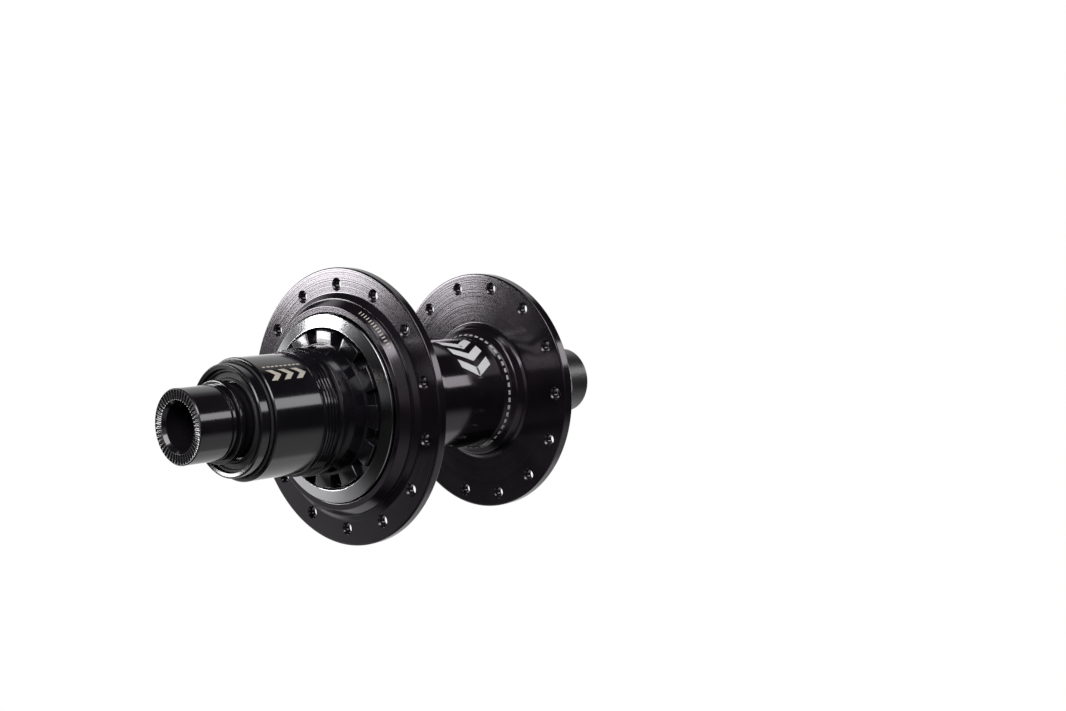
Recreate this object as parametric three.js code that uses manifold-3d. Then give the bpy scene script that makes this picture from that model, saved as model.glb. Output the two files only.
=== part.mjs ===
// Rear wheel hub: a bare hub shell on cartridge bearings, with a pawl-and-ratchet driver body.
//
// Millimetres. The axle lies along Y: the driver end is at -Y, the disc rotor end at +Y, and +Z is up.
// The origin is on the axle, halfway between the two end faces.
// Lengths along the axle are stations, counted from the outer face of the drive-side end cap.
// Angles round the axle run from +Z towards +X, which is also the way the wheel rolls forwards.

import * as THREE from 'three';
import { mergeVertices } from 'three/addons/utils/BufferGeometryUtils.js';
import Module from 'manifold-3d';

const wasm = await Module();
wasm.setup();

// ---------------------------------------------------------------- driving dimensions

const fit = 0.1;            // gap between two turned pieces that are pressed together
const clear = 0.3;          // gap between pieces that slide, turn or are cut to each other
const edge = 0.4;           // edge break on the large aluminium pieces

const axle = { radius: 8.5, shoulder: 9.9, bore: 6.5, socket: 7.7, socketDepth: 15 };
const cap = {
  radius: 9.5, bore: 6, driveLength: 17, discLength: 17.7, spigot: 13.5,
  driveRing: [{ from: 11.2, to: 12.7, radius: 10.5 }],   // stands out just before the driver's mouth
  grooveDepth: 0.5, driveGrooves: [[9.4, 9.9], [10.9, 11.2]], discGrooves: [[9.4, 9.9]],
};
const capRing = { section: 0.4, setBack: 6 };

const driverBearing = { outer: 13, width: 5, ball: 1.2, balls: 9 };
const hubBearing = { outer: 15, width: 7, ball: 1.8, balls: 8, setIn: 3 };
const shield = { thickness: 0.4, inset: 0.15 };
const spacer = { wall: 1.4, gap: 1.6 };  // gap: between the driver body's end and the shell's bearing

const driver = {
  overhang: 2.7,            // the nose stands this far outboard of the cap's shoulder
  lip: 14.1, nose: 14.4, noseCone: 0.3, noseLength: 2.4,
  oRingGroove: 0.9, oRingGrooveDepth: 0.3, oRingSection: 0.38,
  barrel: 15.7, barrelLength: 15,
  thread: 16.4, threadPitch: 1, threadTurns: 5, threadDepth: 0.65,
  neck: 16.8, neckLength: 8.1, neckCone: 0.6,
  lobe: 20.9, lobeRoot: 17.4, lobeLength: 3, lobes: 12, lobeWidth: 19, firstLobe: 5,
  collarLength: 1.2,
  carrier: 18.2, carrierLength: 8.2,
  shoulder: 1.5,            // height of the bore's shoulders behind the bearings
};

const ratchet = { outer: 22.4, tip: 18.6, root: 20, teeth: 48, setIn: 1.9 };
const pawl = { count: 3, pivot: 16, heel: 1.4, reach: 7, nose: 19.3, width: 4.8, setIn: 0.7, range: 12 };
const spring = { thickness: 0.3, width: 3.2, from: 12, to: 24, freeEnd: 15.7 };
const pocket = { depth: 1.1, room: 0.9 };   // depth: of metal left under it; room: ahead of the pawl's nose

const seal = { setBack: 0.6, inner: 21.5, outer: 25, length: 3.4, dish: 0.9, lipLength: 1.3 };
const drum = { mouth: 27, band: 28.7, bandLength: 2.3, mouthSetBack: 2.3, floorGap: 0.6 };
const driveFlange = { radius: 37.1, thickness: 2.6, holeCircle: 32.6, face: 1.7, root: 30.4 };
const discFlange = { radius: 33.7, thickness: 3, holeCircle: 30, root: 26.5 };
const spokeHole = { radius: 1.3, count: 14, first: 0.9 };
const barrel = { radius: 15.5, length: 24, bore: 13, coneLength: 20.1 };
const wall = { drum: 4.4, drumEnd: 2.6, cone: 4.6, bearing: 3 };   // of the shell, outside its bores
const rotor = { seat: 20.5, spline: 17.2, root: 16.6, length: 8, teeth: 30, bodyLength: 12 };
const collar = { radius: 18, length: 5 };
const endSeal = { thickness: 1.2, setBack: 0.7 };

const round = { shell: 40, driver: 30, cap: 24, small: 20, bearing: 20 };

// ---------------------------------------------------------------- stations along the axle

const at = {};
at.driveCapSeat = cap.driveLength;
at.driverNose = at.driveCapSeat - driver.overhang;
at.driverGroove = at.driverNose + driver.noseCone + driver.noseLength;
at.driverBarrel = at.driverGroove + driver.oRingGroove;
at.thread = at.driverBarrel + driver.barrelLength;
at.neck = at.thread + driver.threadTurns * driver.threadPitch;
at.lobes = at.neck + driver.neckLength;
at.driverCollar = at.lobes + driver.lobeLength;
at.carrier = at.driverCollar + driver.collarLength;
at.driverEnd = at.carrier + driver.carrierLength;

at.outerDriverBearing = at.driveCapSeat + clear;
at.innerDriverBearing = at.driverEnd - fit - driverBearing.width;
at.driveBearing = at.driverEnd + spacer.gap;
at.driveAxleShoulder = at.driveBearing + hubBearing.width + clear;

at.sealFront = at.lobes + seal.setBack;
at.drumMouth = at.lobes + drum.mouthSetBack;
at.sealSeat = at.sealFront + seal.length + clear;
at.ratchetFront = at.carrier + ratchet.setIn;
at.drumFloor = at.driverEnd + drum.floorGap;
at.driveFlange = at.drumMouth + drum.bandLength + driveFlange.face;
at.driveFlangeBack = at.driveFlange + driveFlange.thickness;
at.coneEnd = at.driveFlangeBack + barrel.coneLength;

at.collar = at.coneEnd + barrel.length;
at.discFlange = at.collar + collar.length;
at.discFlangeBack = at.discFlange + discFlange.thickness;
at.rotorSeat = at.discFlangeBack + rotor.bodyLength;
at.shellEnd = at.rotorSeat + rotor.length;
at.discBearing = at.shellEnd - hubBearing.setIn - hubBearing.width;
at.discAxleShoulder = at.discBearing - clear;
at.discCapSeat = at.discBearing + hubBearing.width + clear;
at.end = at.discCapSeat + cap.discLength;
const middle = at.end / 2;

// ---------------------------------------------------------------- materials

function finish(color, roughness, metalness) {
  return new THREE.MeshStandardMaterial({ color, roughness, metalness });
}

const blackAnodised = finish(0x0b0b0d, 0.22, 0.9);
const satinAlloy = finish(0xa9adb3, 0.35, 1);
const steel = finish(0xb9bbbe, 0.25, 1);
const toolSteel = finish(0x5c5e62, 0.4, 1);
const rubber = finish(0x0c0c0c, 0.85, 0);
const nylon = finish(0x2b2522, 0.6, 0);
const springSteel = finish(0x8b8f96, 0.3, 1);

// ---------------------------------------------------------------- shape helpers

// A point at radius r and angle a (degrees) in the plane across the axle.
function polar(r, a) {
  const t = THREE.MathUtils.degToRad(a);
  return new THREE.Vector2(r * Math.cos(t), r * Math.sin(t));
}

// Points along an arc about the axle, both ends included.
function arc(r, from, to, steps) {
  return Array.from({ length: steps + 1 }, (_, i) => polar(r, from + (to - from) * i / steps));
}

// A ring turned about the axle from a closed list of [station, radius] corners.
function turned(corners, segments) {
  const points = corners.map(([s, r]) => new THREE.Vector2(r, s - middle));
  if (THREE.ShapeUtils.area(points) < 0) points.reverse();
  points.push(points[0].clone());
  return new THREE.LatheGeometry(points, segments);
}

// A plain tube between two stations.
function tube(from, to, inner, outer, segments) {
  return turned([[from, inner], [from, outer], [to, outer], [to, inner]], segments);
}

// A ring of round section, such as an O-ring.
function oRing(station, radius, section, segments) {
  const corners = Array.from({ length: 6 }, (_, i) => polar(section, 60 * i));
  return turned(corners.map((p) => [station + p.x, radius + p.y]), segments);
}

// A prism along the axle. The outline's x and y are the world's Z and X.
const alongAxle = new THREE.Matrix4().makeBasis(
  new THREE.Vector3(0, 0, 1), new THREE.Vector3(1, 0, 0), new THREE.Vector3(0, 1, 0));

function prism(outline, from, to, hole = []) {
  const shape = new THREE.Shape(outline);
  if (hole.length) shape.holes.push(new THREE.Path(hole));
  const geometry = new THREE.ExtrudeGeometry(shape, { depth: to - from, bevelEnabled: false });
  return geometry.applyMatrix4(alongAxle).translate(0, from - middle, 0);
}

function circle(r, segments) {
  return arc(r, 0, 360 - 360 / segments, segments - 1);
}

// An outline with teeth: corners holds one tooth's [radius, angle] pairs.
function toothed(count, first, corners) {
  const pitch = 360 / count;
  return Array.from({ length: count }, (_, k) =>
    corners.map(([r, a]) => polar(r, first + pitch * k + a))).flat();
}

function solid(geometry) {
  const bare = geometry.clone();
  bare.deleteAttribute('normal');
  bare.deleteAttribute('uv');
  const merged = mergeVertices(bare, 1e-4);
  return new wasm.Manifold(new wasm.Mesh({
    numProp: 3,
    vertProperties: new Float32Array(merged.attributes.position.array),
    triVerts: new Uint32Array(merged.index.array),
  }));
}

function surface(body) {
  const mesh = body.getMesh();
  const geometry = new THREE.BufferGeometry();
  geometry.setAttribute('position', new THREE.BufferAttribute(new Float32Array(mesh.vertProperties), 3));
  geometry.setIndex(new THREE.BufferAttribute(new Uint32Array(mesh.triVerts), 1));
  geometry.computeVertexNormals();
  return geometry;
}

const hub = new THREE.Group();
hub.name = 'rear_hub';

function add(name, geometry, material, turn = 0) {
  const mesh = new THREE.Mesh(geometry, material);
  mesh.name = name;
  mesh.rotation.y = turn;
  hub.add(mesh);
}

// ---------------------------------------------------------------- axle and end caps

const spigotRadius = axle.socket - clear;

function makeAxle() {
  const from = at.driveCapSeat + clear;
  const to = at.discCapSeat - clear;
  return turned([
    [from, axle.socket], [from, axle.radius],
    [at.driveAxleShoulder, axle.radius], [at.driveAxleShoulder, axle.shoulder],
    [at.discAxleShoulder, axle.shoulder], [at.discAxleShoulder, axle.radius],
    [to, axle.radius], [to, axle.socket],
    [to - axle.socketDepth, axle.socket], [to - axle.socketDepth, axle.bore],
    [from + axle.socketDepth, axle.bore], [from + axle.socketDepth, axle.socket],
  ], round.small);
}

// The two caps share one outline: depth counts inwards from the cap's own end face.
function makeCap(length, grooves, rings, place) {
  const tip = length + cap.spigot;
  const ring = length + cap.spigot - capRing.setBack;
  const land = 2 * capRing.section + fit;
  const floor = spigotRadius - 2 * capRing.section;
  const corners = [
    [0, cap.bore + edge], [0, cap.radius - edge], [edge, cap.radius],
    ...grooves.flatMap(([from, to]) => [
      [from, cap.radius], [from, cap.radius - cap.grooveDepth],
      [to, cap.radius - cap.grooveDepth], [to, cap.radius]]),
    ...rings.flatMap(({ from, to, radius }) => [
      [from, radius - 0.2], [from + 0.2, radius], [to - 0.2, radius], [to, radius - 0.2], [to, cap.radius]]),
    [length, cap.radius], [length, spigotRadius],
    [ring - land / 2, spigotRadius], [ring - land / 2, floor],
    [ring + land / 2, floor], [ring + land / 2, spigotRadius],
    [tip, spigotRadius], [tip, cap.bore], [edge, cap.bore],
  ];
  return turned(corners.map(([depth, r]) => [place(depth), r]), round.cap);
}

function makeCapRing(place, length) {
  const radius = spigotRadius - capRing.section + fit / 2;
  return oRing(place(length + cap.spigot - capRing.setBack), radius, capRing.section, round.small);
}

const fromDrive = (depth) => depth;
const fromDisc = (depth) => at.end - depth;

add('axle', makeAxle(), satinAlloy);
add('drive_end_cap', makeCap(cap.driveLength, cap.driveGrooves, cap.driveRing, fromDrive), blackAnodised);
add('disc_end_cap', makeCap(cap.discLength, cap.discGrooves, [], fromDisc), blackAnodised);
add('drive_cap_o_ring', makeCapRing(fromDrive, cap.driveLength), rubber);
add('disc_cap_o_ring', makeCapRing(fromDisc, cap.discLength), rubber);

// ---------------------------------------------------------------- cartridge bearings

const raceBore = axle.radius + fit;

// One race: a ring with a V groove that the balls run in.
function makeRace(bearing, from, wall, land, groove) {
  const to = from + bearing.width;
  const centre = (from + to) / 2;
  const half = bearing.ball * 1.15;
  return turned([
    [from, wall], [from, land], [centre - half, land], [centre, groove], [centre + half, land],
    [to, land], [to, wall],
  ], round.bearing);
}

function makeCage(bearing, from, pitch, thickness) {
  const centre = from + bearing.width / 2;
  const half = bearing.ball + 0.15;
  let cage = solid(tube(centre - half, centre + half, pitch - thickness, pitch + thickness, round.bearing));
  for (let k = 0; k < bearing.balls; k++) {
    const place = polar(pitch, 360 * k / bearing.balls);
    const ball = new THREE.SphereGeometry(bearing.ball, 6, 4);
    cage = cage.add(solid(ball.translate(place.y, centre - middle, place.x)));
  }
  return surface(cage);
}

function addBearing(name, bearing, from) {
  const wall = bearing.outer - fit;
  const pitch = (raceBore + wall) / 2;
  const land = bearing.ball * 0.6;
  const groove = bearing.ball + 0.5;
  const to = from + bearing.width;
  add(`${name}_inner_race`, makeRace(bearing, from, raceBore, pitch - land, pitch - groove), steel);
  add(`${name}_outer_race`, makeRace(bearing, from, wall, pitch + land, pitch + groove), steel);
  add(`${name}_ball_cage`, makeCage(bearing, from, pitch, land - clear), nylon);
  for (const [side, edgeOut, edgeIn] of [
    ['outboard', from + shield.inset, from + shield.inset + shield.thickness],
    ['inboard', to - shield.inset - shield.thickness, to - shield.inset]]) {
    add(`${name}_${side}_seal`,
      tube(edgeOut, edgeIn, pitch - land + 0.2, pitch + land - fit, round.bearing), rubber);
  }
}

addBearing('driver_outer_bearing', driverBearing, at.outerDriverBearing);
addBearing('driver_inner_bearing', driverBearing, at.innerDriverBearing);
addBearing('drive_side_bearing', hubBearing, at.driveBearing);
addBearing('disc_side_bearing', hubBearing, at.discBearing);

const spacerOuter = axle.radius + spacer.wall;
add('driver_bearing_spacer', tube(
  at.outerDriverBearing + driverBearing.width + fit, at.innerDriverBearing - fit,
  raceBore, spacerOuter, round.small), satinAlloy);
add('hub_bearing_spacer', tube(
  at.innerDriverBearing + driverBearing.width + fit, at.driveBearing - fit,
  raceBore, spacerOuter, round.small), satinAlloy);

// ---------------------------------------------------------------- hub shell

const hubBearingBore = hubBearing.outer + fit;
const ratchetBore = ratchet.outer + clear;
const sealBore = seal.outer + clear;

function shellCorners() {
  const flange = (face, back, radius, rootOut, rootIn) => [
    [face, rootOut], [face, radius - edge], [face + edge, radius],
    [back - edge, radius], [back, radius - edge], [back, rootIn]];
  return [
    [at.drumMouth, sealBore], [at.drumMouth, drum.mouth],
    [at.drumMouth + drum.bandLength, drum.band],
    [at.driveFlange - 1.2, drum.band + 0.3],
    ...flange(at.driveFlange, at.driveFlangeBack, driveFlange.radius, driveFlange.root, driveFlange.root - 1),
    [at.driveFlangeBack + 1.4, ratchetBore + wall.drum], [at.drumFloor + 1, ratchetBore + wall.drumEnd],
    [at.drumFloor + 3.8, hubBearingBore + wall.cone], [at.driveAxleShoulder, hubBearingBore + wall.bearing],
    [at.coneEnd, barrel.radius],
    [at.collar, barrel.radius], [at.collar + 1.6, barrel.radius + 1.1], [at.collar + 3.4, collar.radius],
    ...flange(at.discFlange, at.discFlangeBack, discFlange.radius, collar.radius + 1.7, discFlange.root),
    [at.discFlangeBack + 1.6, discFlange.root - 2], [at.discFlangeBack + 6, rotor.seat + 1],
    [at.rotorSeat, rotor.seat], [at.rotorSeat, rotor.root],
    [at.shellEnd - edge, rotor.root], [at.shellEnd, rotor.root - edge],
    [at.shellEnd, hubBearingBore + edge], [at.shellEnd - edge, hubBearingBore],
    [at.discAxleShoulder, hubBearingBore], [at.discAxleShoulder, barrel.bore],
    [at.driveAxleShoulder, barrel.bore], [at.driveAxleShoulder, hubBearingBore],
    [at.drumFloor, hubBearingBore], [at.drumFloor, ratchetBore],
    [at.sealSeat, ratchetBore], [at.sealSeat, sealBore],
  ];
}

function makeShell() {
  let shell = solid(turned(shellCorners(), round.shell));
  const pitch = 360 / rotor.teeth;
  const spline = prism(
    toothed(rotor.teeth, 0, [
      [rotor.root - 0.2, 0], [rotor.root - 0.2, pitch * 0.3],
      [rotor.spline, pitch * 0.45], [rotor.spline, pitch * 0.85]]),
    at.rotorSeat - 0.5, at.shellEnd - 1, circle(rotor.root - 0.8, rotor.teeth));
  shell = shell.add(solid(spline));
  const halfPitch = 180 / spokeHole.count;
  for (const [flange, face, back, shift] of [
    [driveFlange, at.driveFlange, at.driveFlangeBack, 0],
    [discFlange, at.discFlange, at.discFlangeBack, halfPitch]]) {
    for (let k = 0; k < spokeHole.count; k++) {
      const place = polar(flange.holeCircle, spokeHole.first + shift + 2 * halfPitch * k);
      const hole = new THREE.CylinderGeometry(spokeHole.radius, spokeHole.radius, back - face + 2, 8);
      shell = shell.subtract(solid(hole.translate(place.y, (face + back) / 2 - middle, place.x)));
    }
  }
  return surface(shell);
}

add('hub_shell', makeShell(), blackAnodised);

// ---------------------------------------------------------------- drum seal and ratchet ring

add('drum_seal_ring', turned([
  [at.sealFront, seal.inner], [at.sealFront + seal.dish, seal.outer],
  [at.sealFront + seal.length, seal.outer], [at.sealFront + seal.length, seal.inner]],
round.shell), satinAlloy);

add('drum_lip_seal', tube(
  at.sealSeat + 0.2, at.sealSeat + 0.2 + seal.lipLength,
  driver.carrier + 0.5, ratchet.outer, round.driver), rubber);

// The pawl's nose when it is sprung out, and the angle where its swing crosses the circle of the tooth tips.
const nose = new THREE.Vector2(Math.sqrt(pawl.nose ** 2 - pawl.reach ** 2), pawl.reach);
const swing = Math.hypot(nose.x - pawl.pivot, nose.y);
const crossing = Math.acos((pawl.pivot ** 2 + ratchet.tip ** 2 - swing ** 2) / (2 * pawl.pivot * ratchet.tip));
const faceAngle = THREE.MathUtils.radToDeg(crossing + clear / ratchet.tip);

// Each tooth is driven on its steep face, which stands clear of the swing; the pawls slide over its long back.
add('ratchet_ring', prism(
  circle(ratchet.outer, round.driver), at.ratchetFront, at.drumFloor - clear,
  toothed(ratchet.teeth, faceAngle, [
    [ratchet.root, -0.2], [ratchet.tip, 0.2]])),
toolSteel);

// ---------------------------------------------------------------- driver body

const driverBore = driverBearing.outer + fit;
const driverThroat = driverBearing.outer - driver.shoulder;
const pawlFrom = at.ratchetFront + pawl.setIn;
const pawlTo = pawlFrom + pawl.width;
const pocketFloor = driverBore + pocket.depth;

function threadCorners() {
  const root = driver.thread - driver.threadDepth;
  return Array.from({ length: driver.threadTurns }, (_, k) => {
    const s = at.thread + k * driver.threadPitch;
    return [[s, root], [s + driver.threadPitch / 2, driver.thread]];
  }).flat();
}

// A pocket holds the pawl's heel, and leaves room under it for the leaf spring and for its travel.
function pocketOutline() {
  const heel = pawl.heel + clear;
  const right = pawl.reach + pocket.room;
  const wallAngle = THREE.MathUtils.radToDeg(Math.asin(right / pocketFloor));
  const back = [0, 30, 60].map((a) => new THREE.Vector2(pawl.pivot, 0).sub(polar(heel, 90 - a)));
  return [
    new THREE.Vector2(driver.carrier + 2, -heel),
    ...back,
    ...arc(pocketFloor, 2, wallAngle, 5),
    new THREE.Vector2(driver.carrier + 2, right),
  ];
}

function makeDriver() {
  const corners = [
    [at.driverNose, driverBore + edge], [at.driverNose, driver.lip],
    [at.driverNose + driver.noseCone, driver.nose], [at.driverGroove, driver.nose],
    [at.driverGroove, driver.nose - driver.oRingGrooveDepth], [at.driverBarrel, driver.nose - driver.oRingGrooveDepth],
    [at.driverBarrel, driver.barrel - 0.3], [at.driverBarrel + 0.3, driver.barrel],
    [at.thread - 0.2, driver.barrel],
    ...threadCorners(),
    [at.neck, driver.thread - driver.threadDepth], [at.neck + driver.neckCone, driver.neck],
    [at.lobes, driver.neck], [at.lobes, driver.lobeRoot],
    [at.driverCollar, driver.lobeRoot], [at.driverCollar, driver.lobe],
    [at.carrier, driver.lobe], [at.carrier, driver.carrier],
    [at.driverEnd, driver.carrier], [at.driverEnd, driverBore],
    [at.innerDriverBearing - fit, driverBore], [at.innerDriverBearing - fit, driverThroat],
    [at.outerDriverBearing + driverBearing.width + fit, driverThroat],
    [at.outerDriverBearing + driverBearing.width + fit, driverBore],
    [at.driverNose + edge, driverBore],
  ];
  let body = solid(turned(corners, round.driver));
  const half = driver.lobeWidth / 2;
  const lobes = toothed(driver.lobes, driver.firstLobe, [
    [driver.lobeRoot - 0.3, -half - 2], [driver.lobe, -half], [driver.lobe, 0], [driver.lobe, half],
    [driver.lobeRoot - 0.3, half + 2]]);
  body = body.add(solid(prism(lobes, at.lobes, at.driverCollar + 0.5, circle(driverThroat + 3, 24))));
  for (let k = 0; k < pawl.count; k++) {
    const cutter = prism(pocketOutline(), pawlFrom - clear, pawlTo + clear);
    cutter.rotateY(2 * Math.PI * k / pawl.count);
    body = body.subtract(solid(cutter));
  }
  return surface(body);
}

add('driver_body', makeDriver(), blackAnodised);
add('driver_o_ring', oRing(
  (at.driverGroove + at.driverBarrel) / 2, driver.nose - driver.oRingGrooveDepth + driver.oRingSection + 0.15,
  driver.oRingSection, round.small), rubber);

// ---------------------------------------------------------------- pawls and their leaf springs

// Laid out sprung into the teeth, then pressed in about its heel to where the teeth clear it.
function pawlOutline() {
  const pivot = new THREE.Vector2(pawl.pivot, 0);
  const pressed = THREE.MathUtils.degToRad(pawl.range);
  const heel = Array.from({ length: 7 }, (_, k) => {
    const p = polar(pawl.heel, 180 + 30 * k);
    return p.add(pivot);
  });
  const under = nose.clone().setLength(pawl.nose - 2);
  return [
    ...heel,
    new THREE.Vector2(nose.x - 0.7, pawl.reach * 0.6),
    nose.clone(),
    under,
  ].map((p) => p.rotateAround(pivot, pressed));
}

// A strip that lies on the pocket's floor, with its free end bent up under the pawl's nose.
function springOutline() {
  const low = pocketFloor + clear;
  const high = low + spring.thickness;
  return [
    ...arc(low, spring.from, spring.to, 4),
    polar(spring.freeEnd, spring.to + 1.5), polar(spring.freeEnd, spring.to + 0.4),
    ...arc(high, spring.to - 0.6, spring.from, 4),
  ];
}

for (let k = 0; k < pawl.count; k++) {
  const turn = 2 * Math.PI * k / pawl.count;
  const centre = (pawlFrom + pawlTo) / 2;
  add(`pawl_${k + 1}`, prism(pawlOutline(), pawlFrom, pawlTo), toolSteel, turn);
  add(`pawl_spring_${k + 1}`,
    prism(springOutline(), centre - spring.width / 2, centre + spring.width / 2), springSteel, turn);
}

// ---------------------------------------------------------------- end seals

function makeEndSeal(from, outer) {
  return tube(from, from + endSeal.thickness, cap.radius + 0.5, outer - fit, round.small);
}

add('driver_end_seal', makeEndSeal(at.outerDriverBearing - endSeal.setBack - endSeal.thickness, driverBore),
  rubber);
add('disc_end_seal', makeEndSeal(at.discCapSeat + endSeal.setBack - clear, hubBearingBore), rubber);

export default hub;
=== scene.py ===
"""A bicycle's bare rear hub: a black anodised shell on cartridge bearings, and a driver with pawls.

Lengths in the sections are millimetres. The axle lies along Y, with the driver end at -Y and Z up.
A station is a length along the axle from the outer face of the drive-side end cap, and an angle
round the axle runs from +Z towards +X.
"""

import math

import bmesh
import bpy
import numpy as np
from mathutils import Matrix, Vector


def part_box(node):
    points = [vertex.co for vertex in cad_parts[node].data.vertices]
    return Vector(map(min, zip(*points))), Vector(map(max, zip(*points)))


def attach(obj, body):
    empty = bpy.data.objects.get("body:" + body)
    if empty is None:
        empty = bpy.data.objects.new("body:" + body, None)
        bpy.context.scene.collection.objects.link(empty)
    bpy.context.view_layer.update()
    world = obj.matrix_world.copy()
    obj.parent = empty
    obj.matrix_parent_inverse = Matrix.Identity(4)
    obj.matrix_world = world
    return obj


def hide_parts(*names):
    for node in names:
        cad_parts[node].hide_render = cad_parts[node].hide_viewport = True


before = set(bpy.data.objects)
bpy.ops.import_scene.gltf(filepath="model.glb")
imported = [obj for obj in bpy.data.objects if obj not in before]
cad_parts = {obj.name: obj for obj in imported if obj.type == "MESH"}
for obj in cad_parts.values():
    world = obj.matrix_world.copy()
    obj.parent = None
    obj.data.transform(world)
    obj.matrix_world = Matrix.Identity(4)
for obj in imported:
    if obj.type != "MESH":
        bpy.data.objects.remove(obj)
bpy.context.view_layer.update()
scene = bpy.context.scene
mm = 0.001


# ---------------------------------------------------------------- studio
# A white sweep behind and under the hub, a dark ceiling, four soft boxes beside it and over it, and
# a fill for matt surfaces. Polished black shows nothing but its surroundings, so they are laid out
# panel by panel.

class Wire:
    """A socket in a node tree. Arithmetic on it adds Math nodes, and node() adds any other kind."""

    def __init__(self, tree, socket=None):
        self.tree, self.socket = tree, socket

    def node(self, kind, settings=None, inputs=None, output=0):
        made = self.tree.nodes.new(kind)
        for key, value in (settings or {}).items():
            if key == "stops":
                ramp = made.color_ramp
                while len(ramp.elements) < len(value):
                    ramp.elements.new(1.0)
                for element, (place, colour) in zip(ramp.elements, value):
                    element.position, element.color = place, (*colour, 1.0)
            else:
                setattr(made, key, value)
        for key, value in (inputs or {}).items():
            if isinstance(value, Wire):
                self.tree.links.new(value.socket, made.inputs[key])
            else:
                made.inputs[key].default_value = value
        return Wire(self.tree, made.outputs[output])

    def maths(self, operation, a, b=0.0):
        return self.node("ShaderNodeMath", {"operation": operation}, {0: a, 1: b})

    def __add__(self, other):
        return self.maths("ADD", self, other)

    def __sub__(self, other):
        return self.maths("SUBTRACT", self, other)

    def __rsub__(self, other):
        return self.maths("SUBTRACT", other, self)

    def __mul__(self, other):
        return self.maths("MULTIPLY", self, other)

    __radd__, __rmul__ = __add__, __mul__

    def ramp(self, low, high, a=0.0, b=1.0):
        """A smooth rise from a to b as the wire goes from low to high."""
        return self.node("ShaderNodeMapRange", {"interpolation_type": "SMOOTHSTEP"},
                         {"Value": self, "From Min": low, "From Max": high, "To Min": a, "To Max": b})

    def within(self, low, high, soft):
        return self.ramp(low - soft, low + soft) * self.ramp(high - soft, high + soft, 1.0, 0.0)

    def blend(self, a, b):
        """The colour a where the wire is 0, and b where it is 1."""
        return self.node("ShaderNodeMix", {"data_type": "RGBA"}, {0: self, 6: a, 7: b}, output=2)


# Compass angle from +Y towards +X, height above the horizon, soft edge, all in degrees, and radiance.
panels = [
    ((-105, -8), (-12, 50), 7, 0.80),      # white backdrop
    ((-105, -20), (-8, 14), 7, 0.45),      # its brighter foot
    ((-102, 8), (-75, -8), 8, 0.85),       # white floor under and behind
    ((4, 62), (-80, -24), 8, 0.46),        # floor to the far right
    ((-142, -106), (-60, -14), 8, 0.27),   # floor to the near left
    ((-131, -98), (-26, 6), 4, 0.55),      # pale wall at the near left
    ((62, 190), (-70, -30), 14, 0.30),     # floor behind the camera
    ((118, 176), (2, 58), 9, 0.45),        # pale wall behind the camera
]
white = (1.0, 1.0, 1.0, 1.0)
ceiling = 0.012

world = bpy.data.worlds.new("studio")
world.use_nodes = True
world.node_tree.nodes.clear()
start = Wire(world.node_tree)
direction = start.node("ShaderNodeTexCoord")
x, y, z = (start.node("ShaderNodeSeparateXYZ", {}, {0: direction}, output=axis) for axis in range(3))
compass = start.maths("ARCTAN2", x, y) * (180 / math.pi)
height = start.maths("ARCSINE", z) * (180 / math.pi)
light = ceiling
for (left, right), (low, high), soft, radiance in panels:
    light = compass.within(left, right, soft) * height.within(low, high, soft) * radiance + light
surroundings = start.node("ShaderNodeBackground", {}, {"Color": white, "Strength": light})
paper = start.node("ShaderNodeBackground", {}, {"Color": white})
seen = start.node("ShaderNodeMixShader", {}, {
    0: start.node("ShaderNodeLightPath"), 1: surroundings, 2: paper})
out = world.node_tree.nodes.new("ShaderNodeOutputWorld")
world.node_tree.links.new(seen.socket, out.inputs["Surface"])
scene.world = world
scene.view_settings.view_transform = "Standard"

# Name, compass angle, height, distance in metres, width and height in metres, radiance.
soft_boxes = [
    ("strip_box", 47, 20.5, 1.4, 1.25, 0.36, 3.6),
    ("near_left_box", -129, 12.2, 1.2, 0.24, 0.46, 18.0),
    ("top_box", 120, 75, 1.2, 0.50, 0.40, 3.0),
    ("near_right_box", 145, 40, 1.4, 0.62, 0.80, 6.0),
    ("fill", 132, 30, 1.2, 0.50, 0.50, 10.0),          # seen by matt surfaces only
]
for name, compass_angle, lift, distance, wide, tall, radiance in soft_boxes:
    lamp = bpy.data.lights.new(name, "AREA")
    lamp.shape, lamp.size, lamp.size_y = "RECTANGLE", wide, tall
    lamp.energy = radiance * math.pi * wide * tall
    box = bpy.data.objects.new(name, lamp)
    a, e = math.radians(compass_angle), math.radians(lift)
    towards = Vector((math.sin(a) * math.cos(e), math.cos(a) * math.cos(e), math.sin(e)))
    box.location = towards * distance
    box.rotation_mode = "QUATERNION"
    box.rotation_quaternion = towards.to_track_quat("Z", "Y")
    box.visible_camera = False
    box.visible_glossy = name != "fill"
    scene.collection.objects.link(box)

floor_reach, floor_height = 9, -0.25       # metres
floor_mesh = bpy.data.meshes.new("studio_floor")
floor_mesh.from_pydata([(side * floor_reach, end * floor_reach, floor_height)
                        for side, end in ((-1, -1), (1, -1), (1, 1), (-1, 1))], [], [(0, 1, 2, 3)])
floor = bpy.data.objects.new("studio_floor", floor_mesh)
pale = bpy.data.materials.new("pale_paper")
pale.use_nodes = True
pale.node_tree.nodes.clear()
start = Wire(pale.node_tree)
sheet = start.node("ShaderNodeMixShader", {}, {
    0: start.node("ShaderNodeLightPath"),
    1: start.node("ShaderNodeBsdfDiffuse", {}, {"Color": (0.8, 0.8, 0.8, 1.0)}),
    2: start.node("ShaderNodeEmission", {}, {"Color": white})})
out = pale.node_tree.nodes.new("ShaderNodeOutputMaterial")
pale.node_tree.links.new(sheet.socket, out.inputs["Surface"])
floor_mesh.materials.append(pale)
floor.visible_glossy = floor.visible_diffuse = False
scene.collection.objects.link(floor)

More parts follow.
